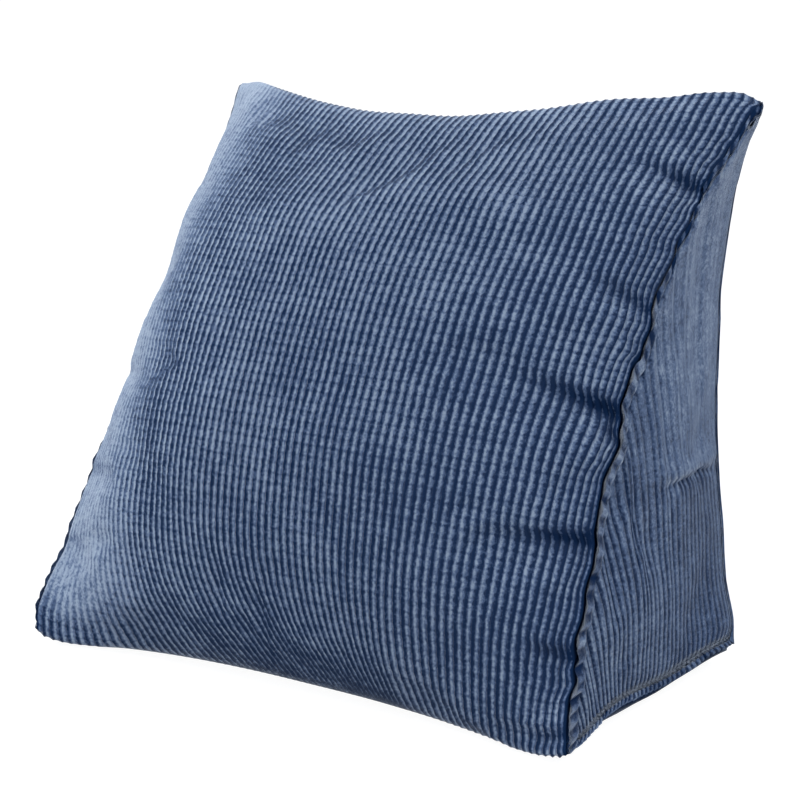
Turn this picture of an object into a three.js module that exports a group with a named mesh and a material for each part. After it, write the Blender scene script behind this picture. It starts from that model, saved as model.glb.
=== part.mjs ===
// A wedge-shaped back cushion, filled, in a ribbed cover, standing on its base.
// Millimetres. X runs along the cushion, -Y is the front that is leant on, +Z is up.
// The origin is on the surface it stands on, below the middle of the base.
//
// The cover is one long strip that goes round base, front, top fold and back, and two
// triangular side panels. The strip is lofted between loops: the seam loop at each side
// panel and two fuller middle loops, one for the left and one for the right, which differ
// at the toe. Ribs run round the strip and up the panels.
import * as THREE from 'three';

// Overall form: the corners where the seams meet
const WIDTH = 550; // from seam to seam
const BASE_DEPTH = 294; // from the toe to the heel
const TIP_HEIGHT = 505; // where front and back would meet in a sharp edge
const TIP_LEAN = 27; // how far that edge stands behind the heel

// Filling: how far the faces stand out from the straight lines between the folds
const FRONT_CROWN = 110; // at the middle of the strip
const FRONT_CROWN_SKEW = 0.75; // under 1, the fullest part is nearer to the toe
const BACK_CROWN = 28;
const FRONT_CROWN_AT_SEAM = 26;
const FRONT_CROWN_SKEW_AT_SEAM = 0.89;
const BACK_CROWN_AT_SEAM = 19;
const PANEL_CROWN = 12;
const PANEL_CROWN_SKEW = 1.5; // moves the panel's fullest part towards its back edge
const CROWN_POWER = 2.56; // from the middle to a seam the crown falls off as
const CROWN_ROUNDNESS = 1.15; // (1 - |u|^power)^roundness

// Folds: how the middle of each fold stands off the line between its corners
const TOE_SET_BACK = { left: 72, right: 30 };
const LEFT_SHARE_SLOPE = 0.42; // the left loop's share is 0.5 - slope * u
const HEEL_STAND_OUT = 31;
const TIP_SET_FORWARD = 91;
const TIP_RISE = 13;
const FOLD_REACH = 12; // of a fold's rounding
const SEAM_FOLD_REACH = 5;
const TOP_SAG = 44;
const TOP_SAG_AT = -0.11; // the lowest point of the top fold, in u
const TOP_SAG_SPREAD = 0.87;
const TOP_SAG_REACH = 122; // down the front and back from the fold

// Sides: the seams are drawn in between the corners
const DRAW_IN = { front: 32, back: 44, base: 14 };
const DRAW_IN_SKEW = { front: 1.3, back: 0.82, base: 1 };
const DRAW_IN_ROUNDNESS = { front: 0.62, back: 0.8, base: 0.8 }; // under 1 is quick at corners
const DRAW_IN_POWER = 7; // how fast the pull fades from the seam, in |u|

// Base: pressed flat by the weight, with the side seams a little off the surface
const PRESS = 2;
const SEAM_LIFT = 17;
const SEAM_LIFT_POWER = 3;
const SEAM_LIFT_FROM = 0.75; // in |u|; inside this the base is flat
const SEAM_LIFT_REACH = 60; // up the front and back from the folds

// Tucks: where the front is caught by a side seam, it dips in and gathers. Each row gives
// a share of the way up the front and the depth at the left and the right seam.
const TUCKS = [
  { share: 0.13, left: 4, right: 6 },
  { share: 0.3, left: 8, right: 7 },
  { share: 0.49, left: 8, right: 10 },
  { share: 0.67, left: 4, right: 6 },
  { share: 0.86, left: 5, right: 8 },
];
const TUCK_WIDTH = 24; // along the seam
const TUCK_REACH = 60; // in from the seam

// Cloth: raised ribs, and the turned edges that make a soft roll along each seam
const RIB_COUNT = 76; // across the strip
const RIB_HEIGHT = 2.2;
const RIB_FADE_POWER = 40; // ribs flatten next to a seam, as 1 - |u|^power
const PANEL_RIB_COUNT = 38; // across a side panel
const PANEL_RIB_LEAN = 1.35; // over 1, a panel's ribs lean forward at the top
const SEAM_ROLL = [
  { inset: 5, lift: 4 },
  { inset: 10, lift: 1 },
];
const PANEL_INSET = 14; // from the seam to the first furrows of a panel
const BACK_EDGE_POWER = 3; // how fast a panel takes up the shape of its back edge

// Steps of the surface
const LOOP_STEP = 6; // spacing of the dense loops
const BASE_ROWS = [0, 0.7, 0.88]; // shares of the way from the base's middle to a fold
const FOLD_ROWS = [0.02, 0.06]; // rows on the front close to each fold, as shares
const BACK_ROWS = 9;
const PANEL_ROWS = 5;
const NUDGE = 0.01; // in u, for the surface's slope
const TOE_SPREAD = 0.5; // in loop steps, over a panel's first column

const CLOTH_BLUE = 0x43597d;
const CLOTH_ROUGHNESS = 0.95;

const clamp01 = (value) => Math.min(Math.max(value, 0), 1);
const bell = (distance, reach) => Math.exp(-((distance / reach) ** 2));
const point2 = (y, z) => new THREE.Vector2(y, z);

// The dense loops run from the base's middle to the toe, up the front, down the back
// and home along the base. These are the numbers of steps on each stretch.
const halfDepth = BASE_DEPTH / 2;
const frontLength = Math.hypot(BASE_DEPTH + TIP_LEAN, TIP_HEIGHT);
const backLength = Math.hypot(TIP_LEAN, TIP_HEIGHT);
const baseSteps = Math.round(halfDepth / LOOP_STEP);
const frontSteps = Math.round(frontLength / LOOP_STEP);
const backSteps = Math.round(backLength / LOOP_STEP);
const TOE = baseSteps;
const TIP = TOE + frontSteps;
const HEEL = TIP + backSteps;
const LOOP_COUNT = HEEL + baseSteps;

// A straight stretch from one fold to the next, bowed outwards by 4k(1 - k), where k is
// the share of the way to the power of the skew.
function bowedStretch(from, to, steps, bow = 0, skew = 1) {
  const along = to.clone().sub(from);
  const outward = point2(-along.y, along.x).normalize();
  return Array.from({ length: steps }, (_, i) => {
    const k = (i / steps) ** skew;
    const stand = bow * 4 * k * (1 - k);
    return from.clone().addScaledVector(along, i / steps).addScaledVector(outward, stand);
  });
}

// Rounds a closed loop: each pass moves every point half-way to its neighbours' mean,
// and the passes together spread a corner over the reach.
function rounded(loop, reach) {
  const passes = Math.round(2 * (reach / LOOP_STEP) ** 2);
  let points = loop;
  for (let pass = 0; pass < passes; pass += 1) {
    points = points.map((point, i) => {
      const before = points[(i + LOOP_COUNT - 1) % LOOP_COUNT];
      const after = points[(i + 1) % LOOP_COUNT];
      return before.clone().add(after).multiplyScalar(0.25).addScaledVector(point, 0.5);
    });
  }
  return points;
}

function sectionLoop(folds, frontBow, frontSkew, backBow, foldReach) {
  const base = point2(0, 0);
  const sharp = [
    ...bowedStretch(base, folds.toe, baseSteps),
    ...bowedStretch(folds.toe, folds.tip, frontSteps, frontBow, frontSkew),
    ...bowedStretch(folds.tip, folds.heel, backSteps, backBow),
    ...bowedStretch(folds.heel, base, baseSteps),
  ];
  return rounded(sharp, foldReach);
}

const corners = {
  toe: point2(-halfDepth, 0),
  tip: point2(halfDepth + TIP_LEAN, TIP_HEIGHT),
  heel: point2(halfDepth, 0),
};
const seamLoop = sectionLoop(
  corners,
  FRONT_CROWN_AT_SEAM,
  FRONT_CROWN_SKEW_AT_SEAM,
  BACK_CROWN_AT_SEAM,
  SEAM_FOLD_REACH,
);
function middleLoop(toeSetBack) {
  const folds = {
    toe: corners.toe.clone().add(point2(toeSetBack, 0)),
    tip: corners.tip.clone().add(point2(-TIP_SET_FORWARD, TIP_RISE)),
    heel: corners.heel.clone().add(point2(HEEL_STAND_OUT, 0)),
  };
  return sectionLoop(folds, FRONT_CROWN, FRONT_CROWN_SKEW, BACK_CROWN, FOLD_REACH);
}
const leftLoop = middleLoop(TOE_SET_BACK.left);
const rightLoop = middleLoop(TOE_SET_BACK.right);

// Which face a loop position is on, and its share of the way along that face.
function faceAt(position) {
  if (position > TOE && position <= TIP) {
    return { face: 'front', share: (position - TOE) / frontSteps };
  }
  if (position > TIP && position <= HEEL) {
    return { face: 'back', share: (position - TIP) / backSteps };
  }
  const fromHeel = position > HEEL ? position - HEEL : position + baseSteps;
  return { face: 'base', share: fromHeel / (2 * baseSteps) };
}

function drawInAt(position) {
  const { face, share } = faceAt(position);
  const wave = clamp01(Math.sin(Math.PI * share ** DRAW_IN_SKEW[face]));
  return DRAW_IN[face] * wave ** DRAW_IN_ROUNDNESS[face];
}

const onLoop = (position) => ((position % LOOP_COUNT) + LOOP_COUNT) % LOOP_COUNT;
function loopPoint(loop, position) {
  const whole = Math.floor(position);
  const from = loop[whole % LOOP_COUNT];
  return from.clone().lerp(loop[(whole + 1) % LOOP_COUNT], position - whole);
}

// How far the tucks along the nearer seam set the front in.
const frontOutward = point2(-TIP_HEIGHT, BASE_DEPTH + TIP_LEAN).normalize();
function tuckDepth(u, position) {
  const { face, share } = faceAt(position);
  if (face !== 'front') {
    return 0;
  }
  const fromSeam = (1 - Math.abs(u)) * (WIDTH / 2);
  const dips = TUCKS.map((tuck) => (
    (u < 0 ? tuck.left : tuck.right) * bell((share - tuck.share) * frontLength, TUCK_WIDTH)
  ));
  return bell(fromSeam, TUCK_REACH) * dips.reduce((sum, dip) => sum + dip, 0);
}

// A point of the strip without its ribs: u from -1 to 1 across the cushion, and a
// position round the loop.
function stripPoint(u, position) {
  const spot = onLoop(position);
  const edge = Math.abs(u);
  const crown = (1 - Math.min(edge, 1) ** CROWN_POWER) ** CROWN_ROUNDNESS;
  const leftShare = 0.5 - LEFT_SHARE_SLOPE * u;
  const middle = loopPoint(rightLoop, spot).lerp(loopPoint(leftLoop, spot), leftShare);
  const section = loopPoint(seamLoop, spot).lerp(middle, crown);
  const aboveFolds = Math.max(Math.min(spot - TOE, HEEL - spot), 0) * LOOP_STEP;
  const seamRise = clamp01((edge - SEAM_LIFT_FROM) / (1 - SEAM_LIFT_FROM)) ** SEAM_LIFT_POWER;
  const lift = SEAM_LIFT * seamRise * bell(aboveFolds, SEAM_LIFT_REACH);
  const sag = TOP_SAG * bell(u - TOP_SAG_AT, TOP_SAG_SPREAD)
    * bell((spot - TIP) * LOOP_STEP, TOP_SAG_REACH);
  const tuck = tuckDepth(u, spot);
  const x = u * (WIDTH / 2) - Math.sign(u) * edge ** DRAW_IN_POWER * drawInAt(spot);
  const y = section.x - tuck * frontOutward.x;
  const z = Math.max(section.y - PRESS, 0) + lift - sag - tuck * frontOutward.y;
  return new THREE.Vector3(x, y, z);
}

function stripNormal(u, position) {
  const across = stripPoint(Math.min(u + NUDGE, 1), position)
    .sub(stripPoint(Math.max(u - NUDGE, -1), position));
  const round = stripPoint(u, position + 1).sub(stripPoint(u, position - 1));
  return round.cross(across).normalize();
}

// Rows crowd towards the folds, where the strip bends most. Those on the front lie on
// the tucks and half-way between them.
function easedRows(start, steps, rows) {
  return Array.from({ length: rows }, (_, i) => (
    start + steps * (0.5 - 0.5 * Math.cos((Math.PI * i) / rows))
  ));
}
const frontRows = [
  0,
  ...FOLD_ROWS,
  ...TUCKS.flatMap(({ share }, i) => (i === 0 ? [share] : [(share + TUCKS[i - 1].share) / 2, share])),
  ...FOLD_ROWS.map((share) => 1 - share).reverse(),
];
const rowPositions = [
  ...BASE_ROWS.map((share) => share * baseSteps),
  ...frontRows.map((share) => TOE + share * frontSteps),
  ...easedRows(TIP, backSteps, BACK_ROWS),
  HEEL,
  ...BASE_ROWS.slice(1).reverse().map((share) => LOOP_COUNT - share * baseSteps),
];

// The mesh being gathered: loops of vertices, joined by bands of triangles.
const vertices = [];
const triangles = [];
function addPoint(point) {
  vertices.push(point.x, point.y, point.z);
  return vertices.length / 3 - 1;
}
function addTriangle(a, b, c, flip) {
  triangles.push(...(flip ? [a, c, b] : [a, b, c]));
}

// Joins two closed loops with the same number of points.
function bridge(lower, upper, flip) {
  lower.forEach((a, i) => {
    const next = (i + 1) % lower.length;
    addTriangle(a, lower[next], upper[next], flip);
    addTriangle(a, upper[next], upper[i], flip);
  });
}

// Joins two closed loops of {vertex, place} with different numbers of points, walking
// round both and taking the nearer next place each time.
function zip(outer, inner, flip) {
  let i = 0;
  let j = 0;
  const placeOf = (loop, k) => loop[k % loop.length].place + Math.floor(k / loop.length);
  while (i < outer.length || j < inner.length) {
    const a = outer[i % outer.length].vertex;
    const b = inner[j % inner.length].vertex;
    if (j >= inner.length || (i < outer.length && placeOf(outer, i + 1) <= placeOf(inner, j + 1))) {
      i += 1;
      addTriangle(a, outer[i % outer.length].vertex, b, flip);
    } else {
      j += 1;
      addTriangle(a, inner[j % inner.length].vertex, b, flip);
    }
  }
}

// The strip: stations alternate between furrows and rib tops, and furrows are set in.
// Ribs fade out where the base is pressed flat, and at the tip and the seams.
function furrowDepth(u, position, point) {
  const offFloor = clamp01(point.z / SEAM_LIFT);
  const offTip = 1 - bell((position - TIP) * LOOP_STEP, 2 * SEAM_FOLD_REACH);
  return RIB_HEIGHT * offFloor * offTip * (1 - Math.abs(u) ** RIB_FADE_POWER);
}
const stationLoops = Array.from({ length: 2 * RIB_COUNT + 1 }, (_, station) => {
  const u = station / RIB_COUNT - 1;
  return rowPositions.map((position) => {
    const point = stripPoint(u, position);
    const depth = station % 2 === 0 ? furrowDepth(u, position, point) : 0;
    return addPoint(point.addScaledVector(stripNormal(u, position), -depth));
  });
});
stationLoops.slice(1).forEach((loop, k) => bridge(stationLoops[k], loop, true));

// A side panel keeps inside the seam loop, shrunk about the panel's middle so that all
// three edges move in by the same amount.
const panelMiddle = point2(
  (-halfDepth * backLength + halfDepth * frontLength + (halfDepth + TIP_LEAN) * BASE_DEPTH)
    / (backLength + frontLength + BASE_DEPTH),
  (TIP_HEIGHT * BASE_DEPTH) / (backLength + frontLength + BASE_DEPTH),
);
const cornerSpots = [
  { at: TOE, corner: corners.toe },
  { at: TIP, corner: corners.tip },
  { at: HEEL, corner: corners.heel },
];

// How far the seam is drawn in where an inset edge runs. Next to a corner that edge stands
// off the corner, so it takes after the seam on both sides of it.
function insetDrawIn(position, inset) {
  const stepsFrom = ({ at }) => onLoop(position - at + LOOP_COUNT / 2) - LOOP_COUNT / 2;
  const nearest = cornerSpots.reduce((best, spot) => (
    Math.abs(stepsFrom(spot)) < Math.abs(stepsFrom(best)) ? spot : best
  ));
  const along = stepsFrom(nearest);
  const setOff = (inset / panelMiddle.y) * nearest.corner.distanceTo(panelMiddle);
  const away = Math.hypot(along, setOff / LOOP_STEP);
  const ahead = 0.5 + (0.5 * along) / away;
  return ahead * drawInAt(onLoop(nearest.at + away))
    + (1 - ahead) * drawInAt(onLoop(nearest.at - away));
}
function insetSeam(side, position, { inset, lift }) {
  const point = stripPoint(side, position);
  const shrink = 1 - inset / panelMiddle.y;
  const x = side * (WIDTH / 2 - insetDrawIn(position, inset) + lift);
  const y = panelMiddle.x + (point.y - panelMiddle.x) * shrink;
  const z = panelMiddle.y + (point.z - panelMiddle.y) * shrink;
  return new THREE.Vector3(x, y, z);
}

// Where on the front a panel's rib ends that starts at a share of the way along the base.
const panelFront = (s) => TOE + frontSteps * s ** PANEL_RIB_LEAN;

// A point of a panel: s from the toe to the back edge, r from the base up to the front
// seam. Base and front edges are joined by straight ribs, the back edge is eased in, and
// the filling crowns the middle.
function panelPoint(side, s, r) {
  const edge = { inset: PANEL_INSET, lift: 0 };
  const base = insetSeam(side, TOE - 2 * baseSteps * s, edge);
  const front = insetSeam(side, panelFront(s), edge);
  const back = insetSeam(side, HEEL - backSteps * r, edge);
  const heel = insetSeam(side, HEEL, edge);
  const tip = insetSeam(side, TIP, edge);
  const point = base.lerp(front, r);
  point.addScaledVector(back.sub(heel.lerp(tip, r)), s ** BACK_EDGE_POWER);
  point.x += side * PANEL_CROWN * 4 * r * (1 - r) * Math.sin(Math.PI * s ** PANEL_CROWN_SKEW);
  return point;
}

// Where a point of a panel's rim lies round the loop, as a share of the loop.
function panelPlace(s, r) {
  if (r === 0) {
    return onLoop(TOE - 2 * baseSteps * s) / LOOP_COUNT;
  }
  return (r === 1 ? panelFront(s) : HEEL - backSteps * r) / LOOP_COUNT;
}

function addPanel(side) {
  const flip = side > 0;
  const seam = side > 0 ? stationLoops.at(-1) : stationLoops[0];
  const rolls = SEAM_ROLL.map((roll) => rowPositions.map((position) => (
    addPoint(insetSeam(side, position, roll))
  )));
  bridge(seam, rolls[0], flip);
  bridge(rolls[0], rolls[1], flip);

  // The panel's grid of ribs, each a furrow and a rib top.
  const columns = 2 * PANEL_RIB_COUNT;
  const share = (column) => (column + 1) / (columns + 1);
  const grid = Array.from({ length: columns + 1 }, (_, column) => (
    Array.from({ length: PANEL_ROWS + 1 }, (__, row) => {
      const point = panelPoint(side, share(column), row / PANEL_ROWS);
      point.x -= column % 2 === 0 ? side * RIB_HEIGHT : 0;
      return addPoint(point);
    })
  ));
  for (let column = 0; column < columns; column += 1) {
    for (let row = 0; row < PANEL_ROWS; row += 1) {
      const [a, b] = [grid[column][row], grid[column + 1][row]];
      const [c, d] = [grid[column + 1][row + 1], grid[column][row + 1]];
      addTriangle(a, b, c, !flip);
      addTriangle(a, c, d, !flip);
    }
  }

  // The grid's rim, in the same order as the seam loop, from the base's middle.
  const rim = [];
  for (let column = 0; column <= columns; column += 1) {
    rim.push({ vertex: grid[column][0], place: panelPlace(share(column), 0) });
    rim.push({ vertex: grid[column][PANEL_ROWS], place: panelPlace(share(column), 1) });
  }
  for (let row = 1; row < PANEL_ROWS; row += 1) {
    rim.push({ vertex: grid[columns][row], place: panelPlace(1, row / PANEL_ROWS) });
    const toePlace = TOE + (row / PANEL_ROWS - 0.5) * TOE_SPREAD;
    rim.push({ vertex: grid[0][row], place: toePlace / LOOP_COUNT });
  }
  rim.sort((first, second) => first.place - second.place);
  const outer = rowPositions.map((position, i) => (
    { vertex: rolls[1][i], place: position / LOOP_COUNT }
  ));
  zip(outer, rim, flip);
}
addPanel(1);
addPanel(-1);

const geometry = new THREE.BufferGeometry();
geometry.setAttribute('position', new THREE.Float32BufferAttribute(vertices, 3));
geometry.setIndex(triangles);
geometry.computeVertexNormals();

const cloth = new THREE.MeshStandardMaterial({
  color: CLOTH_BLUE,
  roughness: CLOTH_ROUGHNESS,
  metalness: 0,
});
const cushion = new THREE.Mesh(geometry, cloth);
cushion.name = 'cushion';

const wedgeCushion = new THREE.Group();
wedgeCushion.add(cushion);
export default wedgeCushion;
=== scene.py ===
# A wedge-shaped back cushion in ribbed blue velvet, standing on its base.
import math

import bpy
import numpy as np
from mathutils import Matrix


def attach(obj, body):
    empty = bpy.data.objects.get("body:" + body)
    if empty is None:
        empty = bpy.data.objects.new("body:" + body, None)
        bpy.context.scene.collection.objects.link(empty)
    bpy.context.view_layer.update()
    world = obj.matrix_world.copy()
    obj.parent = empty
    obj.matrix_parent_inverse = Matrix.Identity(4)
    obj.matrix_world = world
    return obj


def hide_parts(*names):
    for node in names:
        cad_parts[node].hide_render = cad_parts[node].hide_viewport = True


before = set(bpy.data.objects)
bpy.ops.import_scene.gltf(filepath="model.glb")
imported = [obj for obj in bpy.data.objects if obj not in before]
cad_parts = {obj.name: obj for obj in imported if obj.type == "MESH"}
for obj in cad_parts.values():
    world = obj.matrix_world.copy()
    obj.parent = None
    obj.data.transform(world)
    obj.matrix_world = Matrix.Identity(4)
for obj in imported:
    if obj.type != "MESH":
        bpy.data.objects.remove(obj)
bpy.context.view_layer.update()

# Sizes are in millimetres until a mesh is made. X runs along the cushion, -Y is the front that
# is leant on, +Z is up, and the origin is below the middle of the base.
MM = 0.001

# Overall form: the corners where the seams meet
WIDTH = 550  # from seam to seam
BASE_DEPTH = 294  # from the toe to the heel
TIP_HEIGHT = 505  # where front and back would meet in a sharp edge
TIP_LEAN = 27  # how far that edge stands behind the heel

# Filling: how far the faces stand out from the straight lines between the folds
FRONT_CROWN = 110  # at the middle of the strip
FRONT_CROWN_SKEW = 0.75  # under 1, the fullest part is nearer to the toe
BACK_CROWN = 28
FRONT_CROWN_AT_SEAM = 26
FRONT_CROWN_SKEW_AT_SEAM = 0.89
BACK_CROWN_AT_SEAM = 19
PANEL_CROWN = 12
PANEL_CROWN_SKEW = 1.5  # moves a panel's fullest part towards its back edge
CROWN_POWER = 2.56  # from the middle to a seam the crown falls off as
CROWN_ROUNDNESS = 1.15  # (1 - |u|^power)^roundness

# Folds: how the middle of each fold stands off the line between its corners
TOE_SET_BACK = {"left": 46, "right": 28}
LEFT_SHARE_SLOPE = 0.42  # the left loop's share is 0.5 - slope * u
HEEL_STAND_OUT = 31
TIP_SET_FORWARD = 91
TIP_RISE = 13
FOLD_REACH = 12  # of a fold's rounding
SEAM_FOLD_REACH = 5
TOE_ROUNDING = {"left": 20, "right": 14}  # of the toe, half-way between the seams
TOE_ROUNDING_SPREAD = 70  # up the front and under the base
TOP_SAG = 44
TOP_SAG_AT = -0.11  # the lowest point of the top fold, in u
TOP_SAG_SPREAD = 0.87
TOP_SAG_REACH = 122  # down the front and back from the fold
EAR_DROP = {"left": 13, "right": 9.5}  # lowers the two top corners
EAR_DROP_REACH = {"left": 40, "right": 11}  # in from the seam
EAR_FILL = {"left": 3, "right": 1.8}  # raises the top fold beside them
EAR_FILL_AT = {"left": 112, "right": 46}
EAR_FILL_REACH = {"left": 40, "right": 18}
EAR_REACH = 17  # along the seam

# Corners of the side seams, rounded in width: blunt at the corner itself, and full beside an ear
TIP_BLUNT = {"left": 2, "right": 10}
TIP_BLUNT_REACH = 8
TIP_FULL = {"left": 0, "right": 4}
TIP_FULL_REACH = 40
TOE_BLUNT = {"left": 10, "right": 2}
HEEL_BLUNT = {"left": 5, "right": 5}
BLUNT_REACH = 15

# Sides: the seams are drawn in between the corners, by a depth and a skew for each face
DRAW_IN = {"front": 32, "back": 44, "base": 14}
DRAW_IN_SKEW = {"front": 1.3, "back": 0.82, "base": 1}
DRAW_IN_ROUNDNESS = {"front": 0.62, "back": 0.8, "base": 0.8}
DRAW_IN_POWER = 7

# Base: pressed flat by the weight, with the side seams a little off the surface
PRESS = 2
SEAM_LIFT = 17
SEAM_LIFT_POWER = 3
SEAM_LIFT_FROM = 0.75
SEAM_LIFT_REACH = 60
BASE_WAVE = {"height": 3.5, "length": 180, "lowest": 35}  # of the lifted edges, along Y

# Creases in the front, from a side seam inwards. share is how far up the front one starts at
# the seam, rise how much higher it ends, reach how far in it goes, and depth is its drop.
CREASES = [
    {"side": 1, "share": 0.815, "rise": 0.06, "reach": 85, "depth": 10},
    {"side": 1, "share": 0.616, "rise": 0.06, "reach": 85, "depth": 7},
    {"side": 1, "share": 0.468, "rise": 0.045, "reach": 115, "depth": 13},
    {"side": 1, "share": 0.437, "rise": 0.03, "reach": 40, "depth": 6},
    {"side": 1, "share": 0.298, "rise": -0.02, "reach": 110, "depth": 11},
    {"side": 1, "share": 0.139, "rise": 0.01, "reach": 60, "depth": 8},
    {"side": 1, "share": 0.025, "rise": 0.012, "reach": 55, "depth": 5},
    {"side": -1, "share": 0.66, "rise": 0.02, "reach": 60, "depth": 3},
    {"side": -1, "share": 0.43, "rise": 0.01, "reach": 110, "depth": 5},
    {"side": -1, "share": 0.272, "rise": 0.0, "reach": 100, "depth": 5},
    {"side": -1, "share": 0.16, "rise": 0.0, "reach": 60, "depth": 4},
]
CREASE_SHARPNESS = 4  # how quickly the cloth drops at a crease's upper side
CREASE_SOFTNESS = 34  # how slowly it comes back out below
CREASE_LIP = {"share": 0.3, "above": 18, "reach": 16}  # the swelling that overhangs a crease
CREASE_AT_SEAM = {"share": 0.45, "reach": 12}  # how much of the depth is left at the seam itself
CREASE_PAINTED_SHADE = {"above": 2, "reach": 6, "darkest": 10}  # the painted shade in it, and the depth at which that painted shade is darkest
FRONT_SPAN = ((0, 0.03), (0.96, 1))  # shares of the front where creases and gathers start and end

# Unevenness of the filling and the gathers that the seams draw up
LUMP_HEIGHT = 1.1
LUMP_WAVES = 24
LUMP_SHORTEST = 70
LUMP_LONGEST = 190
GATHER_HEIGHT = {"left": 0.3, "right": 2.3}
GATHER_REACH = 20
GATHER_SPACING = 11
SEAM_WIGGLE = {"left": 0.3, "right": 1.9}  # of the front seams, to either side
SEAM_WIGGLE_SPACING = 19
SEAM_WIGGLE_SPAN = ((0.02, 0.1), (0.94, 1))  # shares of the front where it starts and ends

# Cloth settling: the coarse cover is simulated, and its wrinkles are kept
SETTLE_FRAMES = 20
SETTLE_PRESSURE = 4.0
SETTLE_CLOTH = {
    "quality": 6,
    "tension_stiffness": 30,
    "compression_stiffness": 30,
    "shear_stiffness": 10,
    "bending_stiffness": 0.3,
}
SETTLE_SEAM_SHRINK = 0.06
SETTLE_PULLS = (1.0, 0.6, 0.3)  # of the shrinking, at a seam and at the next stations in from it
SETTLE_LIMIT = 2  # how far a wrinkle may move the cloth
SETTLE_BROAD = 40  # passes of smoothing that tell broad swelling from wrinkles
SETTLE_SEAM_FADE = {"left": 40, "right": 8}  # no movement at the seams: the pieces stay joined

# Cloth: ribs along the strip, cut into kernels by a faint nick every few millimetres
RIB_COUNT = 76  # across the strip
PANEL_RIB_COUNT = 38  # across a side panel
PANEL_RIB_LEAN = 1.08  # over 1, a panel's ribs lean forward at the top
RIB_HEIGHT = 2.8
PANEL_RIB_SHARE = {"toe": 0.85, "lower_back": 0.3, "upper_back": 0.03}  # of the rib height
KERNEL_LENGTH = 9.3
RIB_SAMPLES = np.array([0.0, 0.2, 0.5, 0.8])  # from one furrow to the next
RIB_DEPTHS = np.array([1.0, 0.3, 0.0, 0.36])  # below the rib's top, as shares of its height
NICK_DEPTHS = np.array([0.2, 0.1, 0.08, 0.34])  # how much deeper each sample is at a nick
RIB_SWEEP = {"size": 38, "reach": 75, "width": 1.4}  # to the right, round the left part of the toe
RIB_FADE_POWER = 90  # ribs flatten next to a seam, as 1 - |u|^power
RIBS_LOST_AT_TIP = 0.7  # where the cloth is stretched over the top fold
PAINTED_SHEEN_BAND = {"from": 42, "to": 150, "tone": 3, "ribs_lost": 0.75}  # painted sheen along the front's left seam, where the ribs are also flattened
PAINTED_SHEEN_SPAN = ((0, 0.1), (1, 1.08))  # shares of the front where it starts and ends

# Seams: a groove on the strip's side and the panel's turned edge as a bumpy roll beside it
SEAM_GROOVE = 5
SEAM_GROOVE_REACH = 5  # of the painted shade along it
GROOVE_LEAST = 0.7  # of the groove, up the front
BASE_SHADE = 0.5  # painted shade on the base, where it lies in shadow on the floor
ROLL_RADIUS = 4.6
ROLL_ANGLES = np.radians([35, 80, 120, 150])
ROLL_BUMP = 0.4  # where a panel's rib runs over it
ROLL_WANDER = 0.4
ROLL_WANDER_SPACING = 1.3 * KERNEL_LENGTH
ROLL_ROWS = 4  # to each of the panel's ribs
ROLL_RIBBING = 0.6
ROLL_SIZE = {"front": 1.0, "upper": 0.35, "back": 0.25, "base": 0.85}  # shares of the radius
ROLL_SHRINKS = (0.58, 0.74)  # between these shares of the front
ROLL_HEEL_TURN = 18.5  # of the back above the heel, where the roll grows to the base's size
ROLL_LOST_AT_TIP = 0.7
# painted shade on the roll: between the panel's ribs, and where the roll is small
ROLL_SHADE = {"between_ribs": 0.25, "where_small": 0.7}
ROLL_PLACES = (0.2, 0.8)  # across it, in kernels of the cloth
GROOVE_PLACE = (0.05, 0.5)  # the place in a furrow, with its painted shade, that the cloth between strip and roll takes after
GAP_PLACE = (0.13, 0.5)  # and that between roll and panel, also in a furrow's painted shade
PANEL_GAP = 1.2  # between a roll and the panel's ribs
PANEL_END_REACH = 6  # of the painted shade at the ends of a panel's furrows
# painted shade at a furrow's end, next to the base and next to the front
PANEL_END_SHADE = {"base": 0.7, "front": 0.3}
PANEL_TOE_SPREAD = 0.01  # of the loop's steps, over which a panel's toe edge is joined to its roll
BACK_EDGE_POWER = 3

# Cross seam that joins a side panel's lower and upper piece, next to its back edge
CROSS_SEAM_HEIGHT = 186
CROSS_SEAM_DROP = 14  # at the back edge
CROSS_SEAM_FROM = 0.55  # where it starts, from the toe (0) to the back edge (1)
CROSS_SEAM_TO = 0.75  # where it is fully formed
CROSS_SEAM_FADE = {"from": 0.93, "share": 0.7}  # towards the back edge
CROSS_GROOVE = 3.5
CROSS_GROOVE_REACH = {"above": 2, "below": 6}
CROSS_LIP = 3
CROSS_LIP_REACH = 12

# Steps of the surface
LOOP_STEP = 2  # spacing of the dense section loops
BASE_ROWS = 20
PANEL_LOWER_ROWS = 26
PANEL_UPPER_ROWS = 30
PANEL_ROW_EASE = 1.4  # rows crowd towards the cross seam
COARSE_PANEL_COLUMNS = 8  # every so many fine columns make one of the simulated cover
COARSE_ROWS = 2  # and every so many fine rows

STRIP_EDGES = {-1: 0, 1: -1}  # the strip's first or last station is the seam of this side

rng = np.random.default_rng(7)
lump_seed, gather_seed, roll_seed, panel_seed, wiggle_seed = rng.integers(0, 2 ** 31, 5)

half_width = WIDTH / 2
half_depth = BASE_DEPTH / 2
front_length = math.hypot(BASE_DEPTH + TIP_LEAN, TIP_HEIGHT)
back_length = math.hypot(TIP_LEAN, TIP_HEIGHT)
base_steps = round(half_depth / LOOP_STEP)
front_steps = round(front_length / LOOP_STEP)
back_steps = round(back_length / LOOP_STEP)
TOE = base_steps
TIP = TOE + front_steps
HEEL = TIP + back_steps
LOOP_COUNT = HEEL + base_steps


def bell(distance, reach):
    """A soft bump: exp(-(distance / reach)^2)."""
    return np.exp(-(distance / reach) ** 2)


def smooth_step(value, start, end):
    """Goes from 0 at start to 1 at end as 3t^2 - 2t^3."""
    t = np.clip((value - start) / (end - start), 0, 1)
    return t * t * (3 - 2 * t)


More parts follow.
